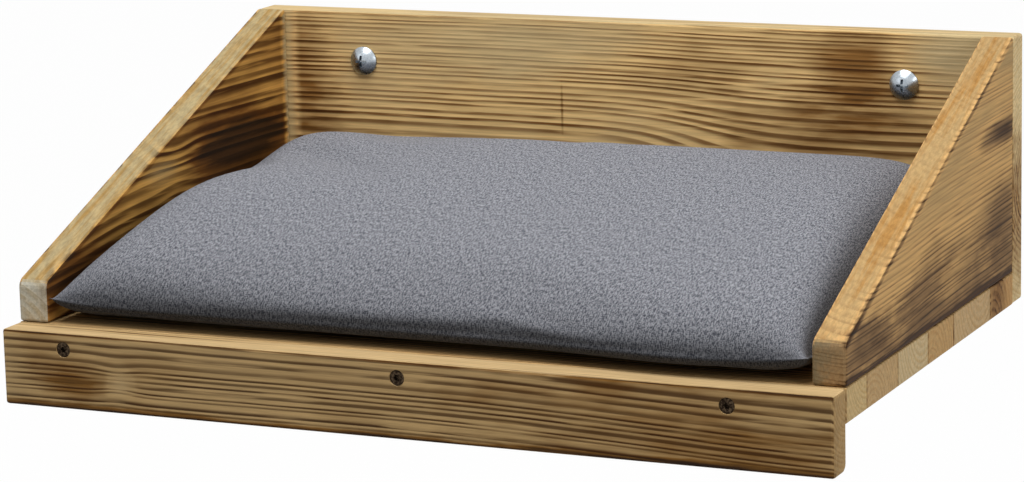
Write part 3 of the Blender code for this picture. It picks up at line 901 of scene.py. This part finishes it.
def steel_material(name, colour, worn, roughness, fineness):
    """Plated steel: a skin with worn patches, and fine marks that break up its gloss."""
    material, tree, shader = new_material(name, Metallic=1.0)
    place = object_place(tree)
    patches = ramp_between(tree, noise(tree, place, WORN_SCALE, 3.0, 0.6), *WORN_LEVELS)
    plug_in(tree, shader.inputs["Base Color"], mixed(tree, patches, colour, worn))
    marks = noise(tree, place, fineness, 3.0, 0.6)
    gloss = maths(tree, "MULTIPLY_ADD", marks, MARKS_ROUGHNESS, roughness)
    plug_in(tree, shader.inputs["Roughness"], gloss)
    add_bump(tree, shader, marks, MARKS_STRENGTH, MARKS_DEPTH)
    return material


dark_steel = steel_material("dark_steel", DULL, DULL_WORN, 0.48, 1500.0)
bright_zinc = steel_material("bright_zinc", ZINC, ZINC_WORN, 0.20, 1100.0)
print("steels:", dark_steel.name, bright_zinc.name)

# %% [markdown]
# ## Driving the screws
# A wood screw has a cone under its head that sinks into the board, a plain shank, and a thread on
# its last part. A wall screw has a flat underside that bears on the wood and a high dome. Each is a
# list of radii and heights. It is made standing at the origin with its head up, and then turned and
# moved to where its CAD node's head is.

# %% Drive the wood screws
WOOD_HEAD, WOOD_SHANK, WOOD_LENGTH = 0.0043, 0.0020, 0.040
WOOD_LIP, WOOD_POINT = 0.0004, 0.007
WOOD_PITCH, WOOD_THREAD, WOOD_THREADED = 0.0022, 0.00035, 0.6
LOBES, LOBES_DEPTH, LOBES_TAPER = (six_lobed, 0.0017, 0.00025), 0.0020, 0.85
SOFT_EDGE = TIP = 0.0001
POINT_BEND = 0.6  # a point is narrowed to this share when it has gone this share of its length


def drive(bm, node, outward):
    """Stand a finished screw where its CAD node is. outward is the way its head looks."""
    low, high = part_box(node)
    middle, out = (low + high) / 2, Vector(outward)
    head = middle + out * abs((high - low).dot(out)) / 2
    turn = out.to_track_quat("Z", "Y").to_matrix().to_4x4()
    bmesh.ops.transform(bm, matrix=Matrix.Translation(head) @ turn, verts=bm.verts)


def drive_wood_screw(node, outward):
    start = WOOD_POINT - WOOD_LENGTH
    profile = [
        (WOOD_HEAD - SOFT_EDGE, 0.0),
        (WOOD_HEAD, -SOFT_EDGE),
        (WOOD_HEAD, -WOOD_LIP),
        (WOOD_SHANK, -WOOD_LIP - (WOOD_HEAD - WOOD_SHANK)),
        (WOOD_SHANK, start),
        (WOOD_SHANK * POINT_BEND, start - WOOD_POINT * POINT_BEND),
        (TIP, -WOOD_LENGTH),
    ]
    bm = grow_screw(LOBES, LOBES_DEPTH, LOBES_TAPER, 0.0, profile)
    turns = int(WOOD_THREADED * WOOD_LENGTH / WOOD_PITCH)
    wind_thread(bm, WOOD_SHANK, WOOD_THREAD, WOOD_PITCH, start, turns)
    drive(bm, node, outward)
    screw = finish_mesh(f"{node}_steel", bm)
    give_finish(screw, dark_steel)
    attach(screw, "shelf")
    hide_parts(node)


FRONT, REAR, DOWN = (0, -1, 0), (0, 1, 0), (0, 0, -1)
HEAD_SIDE = {"rail": FRONT, "back": REAR, "side": REAR, "bed": DOWN}
wood_screws = sorted(n for n in nodes if "_screw_" in n and not n.startswith("wall"))
for node in wood_screws:
    drive_wood_screw(node, HEAD_SIDE[node.split("_")[0]])
print("drove", len(wood_screws), "wood screws")

# %% Drive the wall screws
WALL_HEAD, WALL_SHANK, WALL_LENGTH = 0.009, 0.0029, 0.060
WALL_RIM, WALL_DOME, WALL_UNDERCUT = 0.0010, 0.0042, 0.0004
WALL_POINT = 0.010
WALL_PITCH, WALL_THREAD, WALL_TURNS = 0.0026, 0.0005, 15
CROSS, CROSS_DEPTH, CROSS_TAPER = (crossed_slots, 0.0076, 0.0017), 0.0030, 0.6


def drive_wall_screw(node):
    end = -WALL_LENGTH - WALL_RIM
    profile = [
        (WALL_HEAD, 0.0),
        (WALL_HEAD, -WALL_RIM),
        (WALL_HEAD - WALL_UNDERCUT, -WALL_RIM),
        (WALL_SHANK, -WALL_RIM),
        (WALL_SHANK, end + WALL_POINT),
        (TIP, end),
    ]
    bm = grow_screw(CROSS, CROSS_DEPTH, CROSS_TAPER, WALL_DOME, profile)
    bmesh.ops.translate(bm, vec=(0, 0, -WALL_DOME), verts=bm.verts)
    foot = end - WALL_DOME + WALL_POINT
    wind_thread(bm, WALL_SHANK, WALL_THREAD, WALL_PITCH, foot, WALL_TURNS)
    drive(bm, node, FRONT)
    screw = finish_mesh(f"{node}_zinc", bm)
    give_finish(screw, bright_zinc)
    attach(screw, "shelf")
    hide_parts(node)
    return screw


for node in ("wall_screw_left", "wall_screw_right"):
    screw = drive_wall_screw(node)
    print(screw.name, "has", len(screw.data.polygons), "faces")

# %% [markdown]
# ## The cushion
# The cushion is a cloth envelope, two flat panels sewn together along their edge and stuffed. Its
# look comes from that: it is full in the middle, its sides pull in between the corners, and the
# cloth puckers along the seam. A rounded box would miss all three. So the envelope is made as two
# grids that share their rim, set to roughly the stuffed shape, and Blender's cloth inflates it
# from within. Where the bed, the side panels and the back press on it, it is pressed flat after.

# %% The stuffed shape
COLUMNS, ROWS = 96, 64
SEAM_RISE, CORNER_RISE = 0.0105, 0.0044  # of the seam above the bed, and what the corners add
TOP_FOOT = 0.0047  # where the top's rise is counted from
CROWN = 0.0608
REAR_LIFT, REAR_FALL = 0.374, -0.207  # the stuffing has moved back, but not into the last seam
SIDE_SQUARE, END_SQUARE = 15.2, 13.3  # the higher, the flatter the top and the sharper its shoulder
SHOULDER = 0.53  # the lower, the fuller
FOOT_SIDE, FOOT_END, FOOT_SHOULDER = 14, 12, 0.40  # the same for the underside
CORNER_TIGHT = 12  # how far into the corners the seam stays level
WAIST = (0.0055, 0.0118)  # how far the sides and the ends pull in, as a share
FRONT_BULGE = (0.70, 0.30, 0.0075)  # where the stuffing has moved forward, how wide and how far
BULGE_TIGHT = 6  # how soon the bulge ends behind the front
LUMPS = [((-0.82, -0.27), (0.35, 0.54), 0.0047), ((-0.69, 0.36), (0.35, 0.34), -0.0078)]


def lump(u, v, spot, spread, rise):
    """A soft hump or hollow in the stuffing."""
    return rise * exp(-(((u - spot[0]) / spread[0]) ** 2) - ((v - spot[1]) / spread[1]) ** 2)


def seam_height(u, v):
    return SEAM_RISE + CORNER_RISE * (u * v) ** CORNER_TIGHT


def top_shape(u, v):
    full = max((1 - abs(u) ** SIDE_SQUARE) * (1 - abs(v) ** END_SQUARE), 0) ** SHOULDER
    rise = TOP_FOOT + CROWN * (1 + REAR_LIFT * v + REAR_FALL * v * v)
    rise += sum(lump(u, v, *each) for each in LUMPS)
    return seam_height(u, v) * (1 - full) + full * rise


def foot_shape(u, v):
    full = max((1 - u**FOOT_SIDE) * (1 - v**FOOT_END), 0) ** FOOT_SHOULDER
    return seam_height(u, v) * (1 - full)


crown, rear = [round(top_shape(0, v) * 1000, 1) for v in (0, 0.8)]
print("the crown is", crown, "mm high, and the top", rear, "mm near the back")

# %% Sew the envelope
cover_low = Vector(map(min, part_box("cushion_cover_bottom")[0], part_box("cushion_cover_top")[0]))
cover_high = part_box("cushion_cover_top")[1]
cover_centre, cover_half = (cover_low + cover_high) / 2, (cover_high - cover_low) / 2
WELD = 1e-5  # points of the two panels nearer than this become one


def cloth_point(x, y, shape):
    """Where a point of a flat panel, from -1 to 1 each way, comes to lie when it is stuffed."""
    u, v = sin(pi / 2 * x), sin(pi / 2 * y)
    across = cover_half.x * u * (1 - WAIST[0] * (1 - v * v))
    along = cover_half.y * v * (1 - WAIST[1] * (1 - u * u))
    spot, spread, forward = FRONT_BULGE
    along -= forward * exp(-(((u - spot) / spread) ** 2)) * max(-v, 0) ** BULGE_TIGHT
    return Vector((cover_centre.x + across, cover_centre.y + along, cover_low.z + shape(u, v)))


def measured(line, count):
    """The length of cloth from the middle of a line to each of its points."""
    dots = [line(2 * i / count - 1) for i in range(count + 1)]
    steps = [(b - a).length for a, b in zip(dots, dots[1:])]
    return [sum(steps[:i]) - sum(steps) / 2 for i in range(count + 1)]


def sew_envelope():
    """Two panels with a common rim, and a flat pattern of each kept as its UV map."""
    bm = bmesh.new()
    flat = bm.loops.layers.uv.new("cloth")
    held = bm.verts.layers.deform.verify()
    for shape, panel in ((top_shape, 0), (foot_shape, 1)):
        old = set(bm.verts)
        bmesh.ops.create_grid(bm, x_segments=COLUMNS, y_segments=ROWS, size=1.0)
        verts = [v for v in bm.verts if v not in old]
        faces = {f for v in verts for f in v.link_faces}
        widths = measured(lambda x: cloth_point(x, 0, shape), COLUMNS)
        lengths = measured(lambda y: cloth_point(0, y, shape), ROWS)
        for face in faces:
            for loop in face.loops:
                column = round((loop.vert.co.x + 1) / 2 * COLUMNS)
                row = round((loop.vert.co.y + 1) / 2 * ROWS)
                loop[flat].uv = (widths[column], lengths[row] + panel)
        if shape is foot_shape:
            bmesh.ops.reverse_faces(bm, faces=list(faces))
        for vert in verts:
            vert[held][0] = 1.0 if vert.is_boundary else 0.0
            vert.co = cloth_point(vert.co.x, vert.co.y, shape)
    bmesh.ops.remove_doubles(bm, verts=bm.verts, dist=WELD)
    return bm


cover = finish_mesh("cushion_cover", sew_envelope(), NEVER_SHARP)
cover.vertex_groups.new(name="seam")
print("envelope of", len(cover.data.polygons), "faces")

# %% Stuff it
START_SMALLER, MOST_SWELL = 0.0012, 0.005
STEPS = 20
TENSION = 80
WOOL = {  # what Blender's cloth is told of the cover, whose seam stays where it is
    "quality": 6,
    "mass": 0.15,
    "vertex_group_mass": "seam",
    "tension_stiffness": TENSION,
    "compression_stiffness": TENSION,
    "shear_stiffness": TENSION / 3,
    "bending_stiffness": 0.3,
    "use_pressure": True,
    "uniform_pressure_force": 0.5,
}


def inflate(obj):
    """Swell a closed cloth skin from within, and keep how far each point may go."""
    for vert, normal in zip(obj.data.vertices, [v.normal.copy() for v in obj.data.vertices]):
        free = 1 - sum(group.weight for group in vert.groups)
        vert.co -= normal * START_SMALLER * free
    before = [v.co.copy() for v in obj.data.vertices]
    cloth = obj.modifiers.new("stuffing", "CLOTH")
    for name, value in WOOL.items():
        setattr(cloth.settings, name, value)
    cloth.settings.effector_weights.gravity = 0
    cloth.point_cache.frame_start, cloth.point_cache.frame_end = 1, STEPS
    scene = bpy.context.scene
    for step in range(1, STEPS + 1):
        scene.frame_set(step)
    graph = bpy.context.evaluated_depsgraph_get()
    swollen = [v.co.copy() for v in obj.evaluated_get(graph).data.vertices]
    obj.modifiers.remove(cloth)
    scene.frame_set(1)
    most = 0.0
    for vert, old, new in zip(obj.data.vertices, before, swollen):
        step = new - old
        most = max(most, step.length)
        if step.length > MOST_SWELL:
            step *= MOST_SWELL / step.length
        vert.co = old + step
    obj.data.update()
    return most


print("the cloth wanted to swell", round(inflate(cover) * 1000, 1), "mm")

# %% Lay it in the shelf
PLAY = 0.0006  # what stays free between the cloth and the wood
OVER_RAIL = 0.02  # the rail is as low as the bed, so the cushion may lie over it
bed_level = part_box("bed_stave_1")[1].z + PLAY
side_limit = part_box("side_panel_right")[0].x - PLAY
front_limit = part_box("front_rail")[1].y + PLAY
rear_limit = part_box("back_panel")[0].y - PLAY
for vert in cover.data.vertices:
    vert.co.x = min(max(vert.co.x, -side_limit), side_limit)
    vert.co.y = min(max(vert.co.y, front_limit - OVER_RAIL), rear_limit)
    vert.co.z = max(vert.co.z, bed_level)
smooth = cover.modifiers.new("fine cloth", "SUBSURF")
smooth.levels = smooth.render_levels = 1
spans = zip(*[v.co for v in cover.data.vertices])
print("cushion", [round((max(span) - min(span)) * 1000, 1) for span in spans], "mm")

# %% [markdown]
# ## The cloth
# The cover is melange wool: every thread is spun of dark, grey and pale fibres, so that the cloth
# is a fine speckle. A flat grey would look like plastic, and a noise in space would run through the
# cushion and not along its threads. So two noises are laid on the panels' flat pattern, one
# stretched along each set of threads, and a third gives the loose tufts. Where the cloth stands
# steep, the height of its own normal darkens its colour: this is painted shade, for light from
# above.

# %% The cloth
YARN = 0.0007  # from one thread to the next
WARP_DASH, WEFT_DASH = 0.0026, 0.0014  # how long a dyed fibre shows in a thread
WARP_SHARE, WEFT_SHARE, SPECK_LEVELS = 0.58, 0.42, (0.38, 0.62)
SPECK_GAIN, SPECK_START = 0.85, -0.20
TUFT_SCALE, TUFT_SHADE, TUFT_HEIGHT = 230.0, 0.55, 0.6
DARK_WOOL, PALE_WOOL = srgb(74, 77, 87), srgb(174, 175, 181)
# painted shade: the cloth's steep sides are darkened, standing in for light that falls mostly from
# above
STEEP_PAINTED_SHADE, STEEP_PAINTED_SHADE_POWER = 0.18, 2.2  # what is left of the colour on a steep side, and how soon
NAP_STRENGTH, NAP_DEPTH = 0.8, 0.0003
SHEEN = {"Specular_IOR_Level": 0.08, "Sheen_Weight": 0.05, "Sheen_Roughness": 0.5}


def make_cloth():
    material, tree, shader = new_material("grey_melange", Roughness=1.0, **SHEEN)
    flat = add_node(tree, "ShaderNodeUVMap", uv_map="cloth").outputs[0]
    warp = (1 / YARN, 1 / WARP_DASH, 1.0)
    weft = (1 / WEFT_DASH, 1 / YARN, 1.0)
    warp, weft = [noise(tree, flat, way, 2.0, 0.6, noise_dimensions="2D") for way in (warp, weft)]
    speck = maths(tree, "MULTIPLY_ADD", warp, WARP_SHARE, maths(tree, "MULTIPLY", weft, WEFT_SHARE))
    tufts = noise(tree, flat, TUFT_SCALE, 3.0, 0.65, noise_dimensions="2D")
    shade = ramp_between(tree, speck, *SPECK_LEVELS)
    shade = maths(tree, "MULTIPLY_ADD", shade, SPECK_GAIN, SPECK_START)
    shade = maths(tree, "MULTIPLY_ADD", tufts, TUFT_SHADE, shade, clamp=True)
    colour = mixed(tree, shade, DARK_WOOL, PALE_WOOL)
    # painted shade: the colour darkens as the normal turns away from straight up
    level = maths(tree, "MAXIMUM", coordinate(tree, object_normal(tree), "Z"), 0.0)
    level = maths(tree, "POWER", level, STEEP_PAINTED_SHADE_POWER)
    painted_steep_shade = maths(tree, "MULTIPLY_ADD", level, 1.0 - STEEP_PAINTED_SHADE, STEEP_PAINTED_SHADE)
    plug_in(tree, shader.inputs["Base Color"], tinted(tree, colour, painted_steep_shade))
    relief = maths(tree, "ADD", speck, maths(tree, "MULTIPLY", tufts, TUFT_HEIGHT))
    add_bump(tree, shader, relief, NAP_STRENGTH, NAP_DEPTH)
    return material


give_finish(cover, make_cloth())
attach(cover, "cushion")
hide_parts("cushion_cover_top", "cushion_cover_bottom")
print("cloth of", round(0.01 / YARN), "threads to the centimetre")

# %% [markdown]
# ## The wadding
# The cover is stuffed with white fibre, which is seen only where the cushion is cut open. It could
# be a shape of its own, but then it might poke through the cloth. A copy of the cover, shrunk a
# little towards its heart, follows it everywhere.

# %% The wadding inside
WADDING_SHARE = (0.965, 0.955, 0.90)  # of the cover's width, depth and thickness
HEART_HEIGHT = 0.012  # the point that the wadding shrinks towards
WADDING_SCALE, WADDING_DARK, WADDING_PALE = 180.0, srgb(214, 214, 210), srgb(246, 246, 244)
bm = bmesh.new()
bm.from_mesh(cover.data)
heart = Vector((cover_centre.x, cover_centre.y, cover_low.z + HEART_HEIGHT))
bmesh.ops.translate(bm, vec=-heart, verts=bm.verts)
bmesh.ops.scale(bm, vec=WADDING_SHARE, verts=bm.verts)
bmesh.ops.translate(bm, vec=heart, verts=bm.verts)
wadding = finish_mesh("cushion_wadding", bm, NEVER_SHARP)
fibre, tree, shader = new_material("white_fibre", Roughness=1.0)
tufts = noise(tree, object_place(tree), WADDING_SCALE, 4.0, 0.65)
plug_in(tree, shader.inputs["Base Color"], mixed(tree, tufts, WADDING_DARK, WADDING_PALE))
give_finish(wadding, fibre)
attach(wadding, "cushion")
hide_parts("cushion_filling")
print("wadding inside, with", len(wadding.data.polygons), "faces")

# %% [markdown]
# ## The light and the floor
# A product on white: a large soft lamp overhead and a little to the front, a lamp from the right
# that draws the boards' ends, a weak one from the left front, and faint light from all round. The
# shelf hangs, so the pale floor lies well below it. The background is white because rays from the
# camera, or off metal, find white there, and not because there is more light.

# %% Light the set
LIT_POINT = Vector((0.0, -0.17, -0.05))
LAMPS = {
    "overhead_softbox": ((-0.05, -0.65, 1.6), 1.2, 26.0),
    "front_lamp": ((-1.4, -1.7, 0.9), 1.0, 2.5),
    "side_lamp": ((2.0, -0.8, 0.7), 1.2, 16.0),
}
AIR_LIGHT = 0.22


def add_lamp(name, place, size, power):
    lamp = bpy.data.lights.new(name, "AREA")
    lamp.shape = "DISK"
    lamp.size = size
    lamp.energy = power
    obj = bpy.data.objects.new(name, lamp)
    obj.location = place
    obj.rotation_euler = aimed(Vector(place), LIT_POINT).to_euler()
    bpy.context.scene.collection.objects.link(obj)


def seen_directly(tree):
    """1 for what the camera sees, also in metal or through glass, and 0 for what only lights."""
    path = tree.nodes.new("ShaderNodeLightPath").outputs
    seen = maths(tree, "MAXIMUM", path["Is Camera Ray"], path["Is Glossy Ray"])
    return maths(tree, "MAXIMUM", seen, path["Is Transmission Ray"])


for name, values in LAMPS.items():
    add_lamp(name, *values)
world = bpy.data.worlds.new("studio")
bpy.context.scene.world = world
world.use_nodes = True
sky = world.node_tree
air = sky.nodes["Background"].inputs
strength = maths(sky, "MULTIPLY_ADD", seen_directly(sky), 1.0 - AIR_LIGHT, AIR_LIGHT)
plug_in(sky, air["Strength"], strength)
plug_in(sky, air["Color"], WHITE)
print("lamps:", ", ".join(LAMPS))

# %% Lay the floor
FLOOR_DROP, FLOOR_SIZE = 0.30, 12.0
FLOOR_GREY = (0.40, 0.40, 0.40, 1.0)  # its colour to the light that falls on it
WHITENESS = 0.98  # how much of the floor's look is plain white; the rest shows its shadow
bm = bmesh.new()
bmesh.ops.create_grid(bm, x_segments=1, y_segments=1, size=FLOOR_SIZE / 2)
bmesh.ops.translate(bm, vec=(0, 0, cad_box[0].z - FLOOR_DROP), verts=bm.verts)
floor = finish_mesh("floor", bm)
pale, tree, shader = new_material("pale_floor", Roughness=0.9)
glow = add_node(tree, "ShaderNodeEmission", [WHITE, 1.0])
seen = seen_directly(tree)
plug_in(tree, shader.inputs["Base Color"], mixed(tree, seen, FLOOR_GREY, WHITE))
share = maths(tree, "MULTIPLY", seen, WHITENESS)
blend = add_node(tree, "ShaderNodeMixShader", [share, shader.outputs[0], glow.outputs[0]])
plug_in(tree, tree.nodes["Material Output"].inputs["Surface"], blend.outputs[0])
give_finish(floor, pale)
print("floor at", round(cad_box[0].z - FLOOR_DROP, 3))
